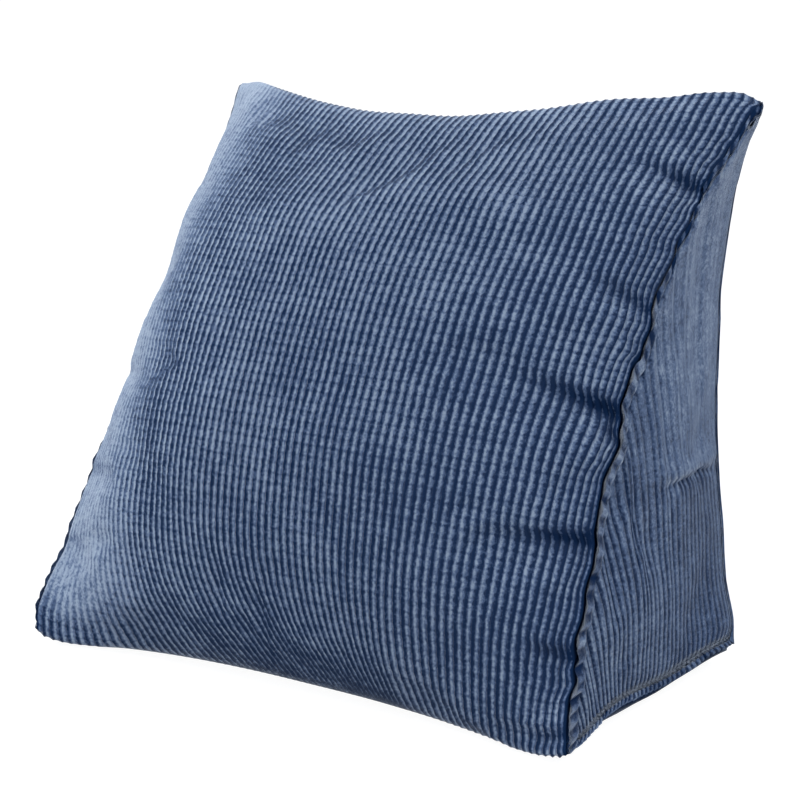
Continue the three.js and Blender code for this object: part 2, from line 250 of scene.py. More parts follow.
def within(share, start, end):
    """Goes smoothly from 0 to 1 over the start and back to 0 over the end, each a pair of shares."""
    return smooth_step(share, *start) * (1 - smooth_step(share, *end))


def by_side(u, sizes):
    """The left or the right one of two sizes, as u is below 0 or not."""
    return np.where(u < 0, sizes["left"], sizes["right"])


def bowed_stretch(start, end, steps, bow=0.0, skew=1.0):
    """Points from start towards end, standing out sideways by bow * 4k(1 - k), where k is the
    share of the way to the power of the skew."""
    s = np.arange(steps)[:, None] / steps
    k = s ** skew
    along = end - start
    outward = np.array([-along[1], along[0]]) / np.hypot(*along)
    return start + along * s + outward * (bow * 4 * k * (1 - k))


def rounded(loop, reach):
    """Rounds a closed loop: each pass moves every point half-way to its neighbours' mean."""
    for _ in range(round(2 * (reach / LOOP_STEP) ** 2)):
        loop = 0.5 * loop + 0.25 * (np.roll(loop, 1, axis=0) + np.roll(loop, -1, axis=0))
    return loop


def section_loop(toe, tip, heel, front_bow, front_skew, back_bow, fold_reach):
    """The cushion's section: base middle, toe, tip, heel and home, bowed and rounded."""
    base = np.zeros(2)
    sharp = np.concatenate([
        bowed_stretch(base, toe, base_steps),
        bowed_stretch(toe, tip, front_steps, front_bow, front_skew),
        bowed_stretch(tip, heel, back_steps, back_bow),
        bowed_stretch(heel, base, base_steps),
    ])
    return rounded(sharp, fold_reach)


toe_corner = np.array([-half_depth, 0.0])
tip_corner = np.array([half_depth + TIP_LEAN, TIP_HEIGHT])
heel_corner = np.array([half_depth, 0.0])
seam_loop = section_loop(
    toe_corner, tip_corner, heel_corner,
    FRONT_CROWN_AT_SEAM, FRONT_CROWN_SKEW_AT_SEAM, BACK_CROWN_AT_SEAM, SEAM_FOLD_REACH,
)


def middle_loop(toe_set_back, toe_rounding):
    """The section that the filling rounds out half-way between the side seams, with a toe that
    rolls under."""
    loop = section_loop(
        toe_corner + [toe_set_back, 0], tip_corner + [-TIP_SET_FORWARD, TIP_RISE],
        heel_corner + [HEEL_STAND_OUT, 0],
        FRONT_CROWN, FRONT_CROWN_SKEW, BACK_CROWN, FOLD_REACH,
    )
    at_toe = bell((np.arange(LOOP_COUNT) - TOE) * LOOP_STEP, TOE_ROUNDING_SPREAD)[:, None]
    return loop * (1 - at_toe) + rounded(loop, toe_rounding) * at_toe


left_loop = middle_loop(TOE_SET_BACK["left"], TOE_ROUNDING["left"])
right_loop = middle_loop(TOE_SET_BACK["right"], TOE_ROUNDING["right"])


def loop_point(loop, position):
    """The loop's point at a position, on the straight line between its two nearest points."""
    whole = np.floor(position).astype(int)
    part = (position - whole)[..., None]
    return loop[whole % LOOP_COUNT] * (1 - part) + loop[(whole + 1) % LOOP_COUNT] * part


def front_share(position):
    """How far up the front a loop position is, from 0 at the toe to 1 at the tip."""
    return (position % LOOP_COUNT - TOE) / front_steps


def loop_noise(position, spacing, generator):
    """Smooth random heights round the loop, from -1 to 1: random knots joined by cosine curves."""
    knots = max(round(LOOP_COUNT * LOOP_STEP / spacing), 4)
    heights = generator.uniform(-1, 1, knots)
    place = (position % LOOP_COUNT) / LOOP_COUNT * knots
    whole = np.floor(place).astype(int)
    part = 0.5 - 0.5 * np.cos(np.pi * (place - whole))
    return heights[whole % knots] * (1 - part) + heights[(whole + 1) % knots] * part


def drawn_in(side, position):
    """How far one side's seam is drawn in: on each face depth * sin(pi * share^skew)^roundness,
    with a small random wiggle up the front and a bell at each corner that makes it blunt."""
    spot = position % LOOP_COUNT
    shares = {
        "front": (spot - TOE) / front_steps,
        "back": (spot - TIP) / back_steps,
        "base": ((spot - HEEL) % LOOP_COUNT) / (2 * base_steps),
    }
    total = np.zeros_like(spot)
    for face, share in shares.items():
        wave = np.sin(np.pi * np.clip(share, 0, 1) ** DRAW_IN_SKEW[face])
        total += DRAW_IN[face] * np.clip(wave, 0, 1) ** DRAW_IN_ROUNDNESS[face]
    on_front = within(shares["front"], *SEAM_WIGGLE_SPAN)
    wiggle = loop_noise(spot, SEAM_WIGGLE_SPACING, np.random.default_rng(wiggle_seed))
    total += by_side(side, SEAM_WIGGLE) * on_front * wiggle
    total += by_side(side, TIP_BLUNT) * bell((spot - TIP) * LOOP_STEP, TIP_BLUNT_REACH)
    total -= by_side(side, TIP_FULL) * bell((spot - TIP) * LOOP_STEP, TIP_FULL_REACH)
    total += by_side(side, TOE_BLUNT) * bell((spot - TOE) * LOOP_STEP, BLUNT_REACH)
    total += by_side(side, HEEL_BLUNT) * bell((spot - HEEL) * LOOP_STEP, BLUNT_REACH)
    return total


def lumps(x, length, generator):
    """Soft unevenness: the mean of plane waves with random direction, length and phase."""
    total = np.zeros(np.broadcast_shapes(x.shape, length.shape))
    for _ in range(LUMP_WAVES):
        turn = generator.uniform(0, 2 * np.pi)
        phase = generator.uniform(0, 2 * np.pi)
        wave_length = generator.uniform(LUMP_SHORTEST, LUMP_LONGEST)
        across = x * math.cos(turn) + length * math.sin(turn)
        total = total + np.sin(2 * np.pi * across / wave_length + phase)
    return total * math.sqrt(2 / LUMP_WAVES)


def crease_depth(u, position):
    """How far the creases set the front in, and how much painted shade each point gets in a crease's
    hollow.
    Each crease is a line from a seam inwards, with a steep bell above it, a wide bell below it
    and a small swelling that overhangs it, all fading as (1 - along^2)^2 to its inner end."""
    share = front_share(position)
    shape = np.broadcast_shapes(u.shape, position.shape)
    depth = np.zeros(shape)
    hollow = np.zeros(shape)
    for crease in CREASES:
        from_seam = (1 - crease["side"] * u) * half_width
        along = np.clip(from_seam / crease["reach"], 0, 1)
        below = (crease["share"] + crease["rise"] * along - share) * front_length
        softness = np.where(below > 0, CREASE_SOFTNESS, CREASE_SHARPNESS)
        lip = CREASE_LIP["share"] * bell(below + CREASE_LIP["above"], CREASE_LIP["reach"])
        at_seam = (1 - CREASE_AT_SEAM["share"]) * bell(from_seam, CREASE_AT_SEAM["reach"])
        fade = (1 - along ** 2) ** 2
        depth = depth + crease["depth"] * fade * (1 - at_seam) * (bell(below, softness) - lip)
        # painted shade in the crease, darkest a little above its line
        dark = bell(below + CREASE_PAINTED_SHADE["above"], CREASE_PAINTED_SHADE["reach"])
        hollow = hollow + crease["depth"] * fade * dark
    return depth, hollow


def section_point(u, position):
    """Y and Z of the strip without creases: the section goes from the seam loop to the middle
    loops as (1 - |u|^power)^roundness. It is pressed flat below and lifted towards the seams by a
    power of |u|, and bells let the top fold sag, lower the ears and fill the fold beside them."""
    spot = position % LOOP_COUNT
    edge = np.minimum(np.abs(u), 1)
    crown = ((1 - edge ** CROWN_POWER) ** CROWN_ROUNDNESS)[..., None]
    left = (0.5 - LEFT_SHARE_SLOPE * u)[..., None]
    middle = loop_point(left_loop, spot) * left + loop_point(right_loop, spot) * (1 - left)
    section = loop_point(seam_loop, spot) * (1 - crown) + middle * crown
    above_folds = np.clip(np.minimum(spot - TOE, HEEL - spot), 0, None) * LOOP_STEP
    rise = np.clip((edge - SEAM_LIFT_FROM) / (1 - SEAM_LIFT_FROM), 0, 1) ** SEAM_LIFT_POWER
    turn = 2 * np.pi * (section[..., 0] - BASE_WAVE["lowest"]) / BASE_WAVE["length"]
    lift = (SEAM_LIFT - BASE_WAVE["height"] * np.cos(turn)) * rise * bell(above_folds, SEAM_LIFT_REACH)
    from_tip = (spot - TIP) * LOOP_STEP
    sag = TOP_SAG * bell(u - TOP_SAG_AT, TOP_SAG_SPREAD) * bell(from_tip, TOP_SAG_REACH)
    from_seam = (1 - edge) * half_width
    at_ear = bell(from_seam, by_side(u, EAR_DROP_REACH))
    drop = by_side(u, EAR_DROP) * at_ear * bell(from_tip, EAR_REACH)
    beside_ear = bell(from_seam - by_side(u, EAR_FILL_AT), by_side(u, EAR_FILL_REACH))
    fill = by_side(u, EAR_FILL) * beside_ear * bell(from_tip, 2 * EAR_REACH)
    z = np.clip(section[..., 1] - PRESS, 0, None) + lift - sag - drop + fill
    return section[..., 0], z


def strip_point(u, position):
    """A point of the strip without its ribs, for u from -1 to 1 across the cushion and a position
    round the loop: the section's point, moved square to the section by creases, lumps and gathers,
    at x = u * half width, less the seam's pull as |u|^power. Also returns the creases' painted shade."""
    u, position = np.broadcast_arrays(u, position)
    spot = position % LOOP_COUNT
    edge = np.abs(u)
    y, z = section_point(u, spot)
    y_next, z_next = section_point(u, spot + 1)
    y_last, z_last = section_point(u, spot - 1)
    length = np.hypot(y_next - y_last, z_next - z_last)
    x = u * half_width - np.sign(u) * edge ** DRAW_IN_POWER * drawn_in(u, spot)

    on_front = within(front_share(spot), *FRONT_SPAN)
    above_floor = smooth_step(z, 0, 2 * SEAM_LIFT)
    depth, hollow = crease_depth(u, spot)
    lump = LUMP_HEIGHT * lumps(u * half_width, spot * LOOP_STEP, np.random.default_rng(lump_seed))
    seam_side = bell((1 - edge) * half_width, GATHER_REACH)
    waves = loop_noise(spot, GATHER_SPACING, np.random.default_rng(gather_seed))
    gather = by_side(u, GATHER_HEIGHT) * seam_side * waves
    stand = above_floor * lump + on_front * (above_floor * gather - depth)
    y = y - stand * (z_next - z_last) / length
    z = z + stand * (y_next - y_last) / length
    return np.stack([x, y, np.maximum(z, 0)], axis=-1), on_front * hollow


def surface_normals(grid):
    """Outward unit normals of a strip grid of stations by rows round the loop."""
    across = np.gradient(grid, axis=0)
    round_loop = np.roll(grid, -1, axis=1) - np.roll(grid, 1, axis=1)
    normal = np.cross(round_loop, across)
    return normal / np.linalg.norm(normal, axis=-1, keepdims=True)


# A side panel keeps inside the seam loop, shrunk about the middle of the triangle's inner circle
perimeter = back_length + front_length + BASE_DEPTH
panel_middle = (
    toe_corner * back_length + heel_corner * front_length + tip_corner * BASE_DEPTH
) / perimeter
corner_spots = np.array([TOE, TIP, HEEL])
corner_reach = np.linalg.norm(np.stack([toe_corner, tip_corner, heel_corner]) - panel_middle, axis=1)


def roll_size(position):
    """The roll's size round the loop: full up the lower front, small above it and along the back,
    least at the ears, and nearly full along the base."""
    spot = position % LOOP_COUNT
    upper = smooth_step(front_share(spot), *ROLL_SHRINKS)
    front = ROLL_SIZE["front"] * (1 - upper) + ROLL_SIZE["upper"] * upper
    round_heel = smooth_step(spot, HEEL - ROLL_HEEL_TURN / LOOP_STEP, HEEL)
    behind = ROLL_SIZE["back"] * (1 - round_heel) + ROLL_SIZE["base"] * round_heel
    size = np.where(spot < TOE, ROLL_SIZE["base"], np.where(spot <= TIP, front, behind))
    return size * (1 - ROLL_LOST_AT_TIP * bell((spot - TIP) * LOOP_STEP, EAR_REACH))


def groove_size(position):
    """The groove's size round the loop: as the roll's, but never small up the front."""
    share = front_share(position)
    on_front = (share > 0) & (share < 1)
    return np.maximum(roll_size(position), np.where(on_front, GROOVE_LEAST, 0))


def panel_inset(position):
    """How far a panel's ribs keep from the seam: the roll's width and a little more."""
    return 2 * ROLL_RADIUS * roll_size(position) + PANEL_GAP


def inset_draw_in(side, position, inset):
    """How far one side's seam is drawn in where an inset edge runs. Next to a corner that edge
    stands off the corner, so it takes after the seam on both sides of it, each by its share."""
    steps = (position[..., None] - corner_spots + LOOP_COUNT / 2) % LOOP_COUNT - LOOP_COUNT / 2
    nearest = np.argmin(np.abs(steps), axis=-1)
    along = np.take_along_axis(steps, nearest[..., None], -1)[..., 0]
    away = np.hypot(along, inset / panel_middle[1] * corner_reach[nearest] / LOOP_STEP)
    ahead = 0.5 + 0.5 * along / away
    corner = corner_spots[nearest]
    return ahead * drawn_in(side, corner + away) + (1 - ahead) * drawn_in(side, corner - away)


def inset_seam(side, position, inset=None, lift=0.0):
    """The seam loop of one side, moved in towards the panel's middle and out from the panel. It
    is a panel's own edge where no inset is given."""
    inset = panel_inset(position) if inset is None else inset
    point, _ = strip_point(np.full_like(position, side), position)
    shrink = (1 - inset / panel_middle[1])[..., None]
    point[..., 1:] = panel_middle + (point[..., 1:] - panel_middle) * shrink
    point[..., 0] = side * (half_width - inset_draw_in(side, position, inset) + lift)
    return point


def panel_front(s):
    """The loop position where a panel's rib that starts at share s of the base meets the front."""
    return TOE + front_steps * s ** PANEL_RIB_LEAN


def panel_grid(side, s, rows, wrinkle=None):
    """A side panel, s from the toe to the back edge by rows from the base up to the front seam:
    straight lines from the base edge to the front edge, with the back edge eased in as s^power,
    and the crown 4r(1 - r) sin(pi s^skew). Rows meet at the cross seam. Wrinkles, furrows, the
    groove of the cross seam and the lip above it are set along X. Without wrinkles it is the
    plain skin. Also returns how far up each point is and its looks: the upper piece is painted
    paler and the lower darker, partly for the nap's own direction and partly as painted light
    from above, and the lip gets a painted highlight; furrows get painted shade in the groove under
    the lip and where they end at the rolls."""
    base = inset_seam(side, TOE - 2 * base_steps * s)
    front = inset_seam(side, panel_front(s))
    seam_height = CROSS_SEAM_HEIGHT - CROSS_SEAM_DROP * s ** 2
    most = PANEL_LOWER_ROWS / (PANEL_LOWER_ROWS + PANEL_UPPER_ROWS)
    seam_r = np.clip((seam_height - base[:, 2]) / (front[:, 2] - base[:, 2]), 0, most)[:, None]
    lower = 1 - (1 - np.clip(rows, 0, 1)) ** PANEL_ROW_EASE
    upper = np.clip(rows - 1, 0, 1) ** PANEL_ROW_EASE
    r = seam_r * lower + (1 - seam_r) * upper

    column = s[:, None]
    point = base[:, None] * (1 - r[..., None]) + front[:, None] * r[..., None]
    heel = inset_seam(side, np.full_like(r, HEEL))
    tip = inset_seam(side, np.full_like(r, TIP))
    back = inset_seam(side, HEEL - back_steps * r)
    ease = back - heel * (1 - r[..., None]) - tip * r[..., None]
    point = point + ease * column[..., None] ** BACK_EDGE_POWER
    stand = PANEL_CROWN * 4 * r * (1 - r) * np.sin(np.pi * column ** PANEL_CROWN_SKEW)
    generator = np.random.default_rng(panel_seed + (side > 0))
    inside = 4 * r * (1 - r) * np.sin(np.pi * column)
    stand = stand + LUMP_HEIGHT * inside * lumps(point[..., 1], point[..., 2], generator)
    above_seam = point[..., 2] - seam_height[:, None]
    upper_part = smooth_step(above_seam, -CROSS_LIP_REACH, CROSS_LIP_REACH)
    share = PANEL_RIB_SHARE
    at_back = share["lower_back"] * (1 - upper_part) + share["upper_back"] * upper_part
    ribbing = share["toe"] + (at_back - share["toe"]) * column

    faded = CROSS_SEAM_FADE["share"] * smooth_step(column, CROSS_SEAM_FADE["from"], 1)
    formed = smooth_step(column, CROSS_SEAM_FROM, CROSS_SEAM_TO) * (1 - faded)
    reach = np.where(above_seam > 0, CROSS_GROOVE_REACH["above"], CROSS_GROOVE_REACH["below"])
    groove = bell(above_seam, reach)
    lip = np.where(above_seam > 0, bell(above_seam - CROSS_LIP_REACH / 2, CROSS_LIP_REACH), 0)
    furrow = np.resize(RIB_DEPTHS, s.size)[:, None]
    if wrinkle is not None:
        stand = stand + formed * (CROSS_LIP * lip - CROSS_GROOVE * groove)
        stand = stand - RIB_HEIGHT * furrow * ribbing * (1 + formed * groove)
        stand = stand + side * wrinkle[..., 0] * np.sqrt(np.clip(inside, 0, 1))
    # painted shade where the panel's furrows end at the rolls
    near_base = PANEL_END_SHADE["base"] * bell(point[..., 2] - base[:, None, 2], PANEL_END_REACH)
    near_front = PANEL_END_SHADE["front"] * bell(front[:, None, 2] - point[..., 2], PANEL_END_REACH)
    point[..., 0] += side * stand
    looks = {
        # upper piece painted paler, lower darker: partly the nap's own direction, partly painted light
        # from above; the lip gets a painted highlight
        "tone": formed * (np.where(rows > 1, 1.0, -1.0) + lip),
        "hollow": furrow * np.maximum(formed * groove, np.maximum(near_base, near_front)),
        "ribbing": ribbing,
    }
    return point, r, looks


class Cover:
    """Collects the cover's points and faces, each face corner's place on the cloth as ribs across
    and kernels along, and the looks of each point."""

    LOOKS = ("tone", "hollow", "ribbing")  # painted light with the nap's own paleness, painted shade in hollows, how strongly ribbed

    def __init__(self):
        self.points = []
        self.looks = []
        self.count = 0
        self.quads = []
        self.quad_places = []
        self.triangles = []
        self.triangle_places = []

    def add_points(self, grid, looks):
        """Adds a grid of points with their looks and returns the grid of their numbers."""
        shape = grid.shape[:-1]
        numbers = self.count + np.arange(math.prod(shape)).reshape(shape)
        self.points.append(grid.reshape(-1, 3))
        self.looks.append(np.stack([np.broadcast_to(looks[look], shape).ravel() for look in self.LOOKS]))
        self.count += numbers.size
        return numbers

    def add_quads(self, numbers, ribs, kernels, flip):
        """Joins neighbours in a grid of point numbers. ribs and kernels give its places."""
        places = np.stack(np.broadcast_arrays(ribs, kernels), axis=-1)

        def corners(grid):
            around = [grid[:-1, :-1], grid[1:, :-1], grid[1:, 1:], grid[:-1, 1:]]
            return np.stack(around[::-1] if flip else around, axis=2)

        self.quads.append(corners(numbers).reshape(-1, 4))
        self.quad_places.append(corners(places).reshape(-1, 4, 2))

    def add_zip(self, outer, outer_places, inner, inner_places, uv, flip):
        """Joins two closed loops of points with different counts. Both are walked round together,
        and each step to the next place on either loop makes one triangle."""
        next_outer = np.append(outer_places[1:], outer_places[0] + 1)
        next_inner = np.append(inner_places[1:], inner_places[0] + 1)
        order = np.argsort(np.concatenate([next_outer, next_inner]), kind="stable")
        steps_outer = order < outer.size
        i = np.cumsum(steps_outer) - steps_outer
        j = np.cumsum(~steps_outer) - ~steps_outer
        here = outer[i % outer.size]
        there = inner[j % inner.size]
        ahead = np.where(steps_outer, outer[(i + 1) % outer.size], inner[(j + 1) % inner.size])
        corners = [here, there, ahead] if flip else [here, ahead, there]
        self.triangles.append(np.stack(corners, axis=1))
        self.triangle_places.append(np.broadcast_to(uv, (order.size, 3, 2)))

    def make_object(self, name):
        """Makes a smooth mesh object of what was collected, in metres."""
        points = np.concatenate(self.points) * MM
        quads = np.concatenate(self.quads)
        triangles = np.concatenate(self.triangles)
        mesh = bpy.data.meshes.new(name)
        mesh.from_pydata(points.tolist(), [], quads.tolist() + triangles.tolist())
        layer = mesh.uv_layers.new(name="ribs")
        places = np.concatenate([grid.ravel() for grid in self.quad_places + self.triangle_places])
        layer.data.foreach_set("uv", places.astype(np.float32))
        for look, values in zip(self.LOOKS, np.concatenate(self.looks, axis=1)):
            attribute = mesh.attributes.new(look, "FLOAT", "POINT")
            attribute.data.foreach_set("value", values.astype(np.float32))
        mesh.polygons.foreach_set("use_smooth", np.ones(len(mesh.polygons), dtype=bool))
        mesh.update()
        made = bpy.data.objects.new(name, mesh)
        bpy.context.scene.collection.objects.link(made)
        return made


# Rows go round the loop from the toe, two to a kernel on the front and back
kernel_count = round((front_length + back_length) / KERNEL_LENGTH)
fine_rows = np.concatenate([
    np.linspace(TOE, HEEL, 2 * kernel_count, endpoint=False),
    np.linspace(HEEL, LOOP_COUNT + TOE, BASE_ROWS, endpoint=False),
])
fine_ribs = np.append((np.arange(RIB_COUNT)[:, None] + RIB_SAMPLES).ravel(), RIB_COUNT)
panel_ribs = (np.arange(PANEL_RIB_COUNT)[:, None] + RIB_SAMPLES).ravel()[:-1]
panel_s = (panel_ribs + 0.5) / PANEL_RIB_COUNT
panel_rows = np.concatenate([
    np.linspace(0, 1, PANEL_LOWER_ROWS, endpoint=False),
    np.linspace(1, 2, PANEL_UPPER_ROWS + 1),
])

# A roll has its own rows: some to each of the panel's ribs along the front and base
roll_s = np.arange(ROLL_ROWS * PANEL_RIB_COUNT) / (ROLL_ROWS * PANEL_RIB_COUNT)
fine_roll_rows = np.concatenate([
    panel_front(roll_s),
    np.linspace(TIP, HEEL, kernel_count // 2, endpoint=False),
    HEEL + 2 * base_steps * roll_s,
])


def rib_at_roll(position):
    """The panel's rib that runs out at a loop position: along the front and base as the panel's
    ribs lie, and the last one all along the back."""
    spot = position % LOOP_COUNT
    front_s = np.clip(front_share(spot), 0, 1) ** (1 / PANEL_RIB_LEAN)
    base_s = ((TOE - spot) % LOOP_COUNT) / (2 * base_steps)
    s = np.where((spot < TOE) | (spot > HEEL), base_s, front_s)
    return s * PANEL_RIB_COUNT - 0.5


def row_kernels(rows):
    """Kernels along the cloth for each row and for the first row once more, a loop further on."""
    return (np.append(rows, rows[0] + LOOP_COUNT) - TOE) * LOOP_STEP / KERNEL_LENGTH


def u_at_rib(ribs):
    """The place in u of a number of ribs from the left seam."""
    return 2 * ribs / RIB_COUNT - 1


def painted_sheen_band(u, rows):
    """How much sheen is painted: fully along the front's left seam, fading further in."""
    on_front = within(front_share(rows), *PAINTED_SHEEN_SPAN)
    return (1 - smooth_step((1 + u) * half_width, PAINTED_SHEEN_BAND["from"], PAINTED_SHEEN_BAND["to"])) * on_front


def rib_sweep(u, rows):
    """How far in u the toe's roll sweeps the ribs to the right: a bell round the toe, times half
    a sine wave from the left seam inwards."""
    from_toe = ((rows - TOE + LOOP_COUNT / 2) % LOOP_COUNT - LOOP_COUNT / 2) * LOOP_STEP
    inwards = np.sin(np.pi * np.clip((1 + u) / RIB_SWEEP["width"], 0, 1))
    return RIB_SWEEP["size"] / half_width * inwards * bell(from_toe, RIB_SWEEP["reach"])


def rib_relief(grid, ribs, rows):
    """How far each point of the strip is set in: the rib's profile, deeper at every second row
    where the nicks are, fading on the pressed base, at the tip, on the band where sheen is painted
    and next to the seams."""
    depth = np.append(np.resize(RIB_DEPTHS, ribs.size - 1), RIB_DEPTHS[0])[:, None]
    nick = np.append(np.resize(NICK_DEPTHS, ribs.size - 1), NICK_DEPTHS[0])[:, None]
    at_nick = (np.arange(rows.size) % 2 == 0) & (rows < HEEL)
    off_floor = smooth_step(grid[..., 2], 0, SEAM_LIFT)
    off_tip = 1 - RIBS_LOST_AT_TIP * bell((rows - TIP) * LOOP_STEP, 2 * FOLD_REACH)
    off_seam = 1 - np.abs(u_at_rib(ribs))[:, None] ** RIB_FADE_POWER
    off_sheen_band = 1 - PAINTED_SHEEN_BAND["ribs_lost"] * painted_sheen_band(u_at_rib(ribs)[:, None], rows)
    return RIB_HEIGHT * (depth + nick * at_nick) * off_floor * off_tip * off_seam * off_sheen_band


def rim_of(grid_numbers, s, r):
    """The outermost points of a panel's grid and their places round the loop, in order."""
    base_places = ((TOE - 2 * base_steps * s) % LOOP_COUNT) / LOOP_COUNT
    front_places = panel_front(s) / LOOP_COUNT
    back_places = (HEEL - back_steps * r[-1, 1:-1]) / LOOP_COUNT
    toe_places = (TOE + (r[0, 1:-1] - 0.5) * PANEL_TOE_SPREAD) / LOOP_COUNT
    edges = [grid_numbers[:, 0], grid_numbers[:, -1], grid_numbers[-1, 1:-1], grid_numbers[0, 1:-1]]
    numbers = np.concatenate(edges)
    places = np.concatenate([base_places, front_places, back_places, toe_places])
    order = np.argsort(places, kind="stable")
    return numbers[order], places[order]


def loop_order(numbers, position):
    """Points of a loop and their places on it from 0 to 1, in order from the loop's start."""
    places = (position % LOOP_COUNT) / LOOP_COUNT
    start = np.argmin(places)
    return np.roll(numbers, -start), np.roll(places, -start)


def closed(numbers):
    """A grid of point numbers whose rows go round the loop, with its first row again at the end."""
    return np.concatenate([numbers, numbers[:, :1]], axis=1)


def strip_grid(ribs, rows, wrinkle=None):
    """The strip, by ribs across and rows round the loop: the bare strip, moved along its normals by
    the wrinkles and set in by the ribs' relief. Its two edges sink into the seams, by half the
    groove's depth along X and by all of it towards the panel's middle. Without wrinkles it is the
    plain skin. Also returns its looks: painted sheen along the front's left seam makes the cloth
    paler and less ribbed there, and creases, grooves and the base get painted shade."""
    even_u = u_at_rib(ribs)[:, None]
    u = even_u + rib_sweep(even_u, rows)
    from_seam = (1 - np.abs(u)) * half_width
    strip, hollow = strip_point(u, rows[None, :])
    if wrinkle is not None:
        normal = surface_normals(strip)
        free = 1 - bell(from_seam, by_side(u, SETTLE_SEAM_FADE))
        swell = np.sum(wrinkle * normal, axis=-1) * free
        strip = strip + normal * swell[..., None]
        strip = strip - surface_normals(strip) * rib_relief(strip, ribs, rows)[..., None]
        strip[..., 2] = np.maximum(strip[..., 2], 0)
        for side, station in STRIP_EDGES.items():
            edge = strip[station]
            off_floor = smooth_step(edge[:, 2], SEAM_LIFT, 3 * SEAM_LIFT)
            sink = SEAM_GROOVE * off_floor * groove_size(rows)
            edge[:, 0] -= side * sink / 2
            edge[:, 1:] += sink[:, None] / panel_middle[1] * (panel_middle - edge[:, 1:])
    # painted shade in the seam's groove, less where the sheen is painted
    painted_groove_shade = bell(from_seam, SEAM_GROOVE_REACH) * groove_size(rows)
    # painted shade on the base, where it lies in shadow on the floor
    underneath = BASE_SHADE * ((rows > HEEL) & (rows < LOOP_COUNT + TOE))
    sheen_band = painted_sheen_band(u, rows)
    looks = {
        # painted sheen along the front's left seam
        "tone": PAINTED_SHEEN_BAND["tone"] * sheen_band,
        "hollow": hollow / CREASE_PAINTED_SHADE["darkest"] + painted_groove_shade * (1 - sheen_band) + underneath,
        "ribbing": 1 - PAINTED_SHEEN_BAND["ribs_lost"] * sheen_band,
    }
    return strip, looks


def roll_grid(side, rows, angles):
    """The roll along one side's seam, by angles over it and rows round the loop. At an angle it is
    inset by size * (1 - cos(angle)) and lifted by size * sin(angle) * (1 + lumps * cos(angle / 2)),
    where the lumps are a cosine wave that is highest on each of the panel's ribs, and a random
    wander. Also returns its looks: painted light where the wander lifts it, and painted shade
    between those ribs, where the roll is small and where the wander sinks it."""
    share = roll_size(rows)
    size = ROLL_RADIUS * share
    on_rib = -np.cos(2 * np.pi * rib_at_roll(rows))
    generator = np.random.default_rng(roll_seed + (side > 0))
    wander = ROLL_WANDER * loop_noise(rows, ROLL_WANDER_SPACING, generator)
    rings = []
    for angle in angles:
        lump = (wander + ROLL_BUMP * on_rib) * math.cos(angle / 2)
        lift = size * math.sin(angle) * (1 + lump)
        rings.append(inset_seam(side, rows, size * (1 - math.cos(angle)), lift))
    # painted shade between ribs, where the roll is small and where the wander sinks it; painted light
    # where the wander lifts it
    painted_roll_shade = ROLL_SHADE["between_ribs"] * (1 - on_rib) - wander + ROLL_SHADE["where_small"] * (1 - share)
    looks = {
        "tone": wander,
        "hollow": painted_roll_shade * (1 - painted_sheen_band(side, rows)),
        "ribbing": ROLL_RIBBING,
    }
    return np.stack(rings), looks


def build_cover(ribs, rows, roll_rows, roll_angles, side_s, side_rows, wrinkles):
    """The whole cover: the strip, a roll along each seam, and the two side panels. Triangles join
    each roll to the strip and to its panel. A part that has no wrinkles is a plain skin, for the
    simulation. Also returns the numbers of the strip's and the panels' points."""
    cover = Cover()
    strip, looks = strip_grid(ribs, rows, wrinkles.get("strip"))
    numbers = cover.add_points(strip, looks)
    cover.add_quads(closed(numbers), ribs[:, None], row_kernels(rows)[None, :], flip=False)
    parts = {"strip": numbers}

    roll_ribs = rib_at_roll(np.append(roll_rows, roll_rows[0] + LOOP_COUNT))[None, :]
    roll_places = np.linspace(*ROLL_PLACES, roll_angles.size)[:, None]
    for side, station in STRIP_EDGES.items():
        flip = side < 0
        grid, looks = roll_grid(side, roll_rows, roll_angles)
        roll = cover.add_points(grid, looks)
        cover.add_quads(closed(roll), roll_ribs, roll_places, flip)
        strip_edge = loop_order(numbers[station], rows)
        cover.add_zip(*strip_edge, *loop_order(roll[0], roll_rows), GROOVE_PLACE, flip)

        grid, r, looks = panel_grid(side, side_s, side_rows, wrinkles.get(side))
        panel = cover.add_points(grid, looks)
        columns = (side_s * PANEL_RIB_COUNT - 0.5)[:, None]
        cover.add_quads(panel, columns, grid[..., 2] / KERNEL_LENGTH, flip)
        panel_edge = rim_of(panel, side_s, r)
        cover.add_zip(*loop_order(roll[-1], roll_rows), *panel_edge, GAP_PLACE, flip)
        parts[side] = panel
    return cover, parts


def blurred(grid, passes):
    """Smooths a grid: each pass moves every point half-way to its neighbours' mean, first across
    and then along. Edges repeat themselves."""
    for _ in range(passes):
        for axis in (0, 1):
            margin = [(1, 1) if k == axis else (0, 0) for k in range(3)]
            wide = np.pad(grid, margin, mode="edge")
            before = np.take(wide, range(grid.shape[axis]), axis)
            after = np.take(wide, range(2, grid.shape[axis] + 2), axis)
            grid = 0.5 * grid + 0.25 * (before + after)
    return grid


def spline_lookup(values, index, axis, wraps):
    """Values between grid lines by Catmull-Rom: four neighbours weighted by cubics of t, the part
    of a step that the index is past the second of them."""
    whole = np.floor(index).astype(int)
    t = index - whole
    weights = [
        t * (t * (2 - t) - 1) / 2,
        (t * t * (3 * t - 5) + 2) / 2,
        t * (t * (4 - 3 * t) + 1) / 2,
        t * t * (t - 1) / 2,
    ]
    count = values.shape[axis]
    shape = [-1 if k == axis else 1 for k in range(values.ndim)]
    total = 0
    for k, weight in enumerate(weights):
        at = whole + k - 1
        at = at % count if wraps else np.clip(at, 0, count - 1)
        total = total + np.take(values, at, axis) * weight.reshape(shape)
    return total


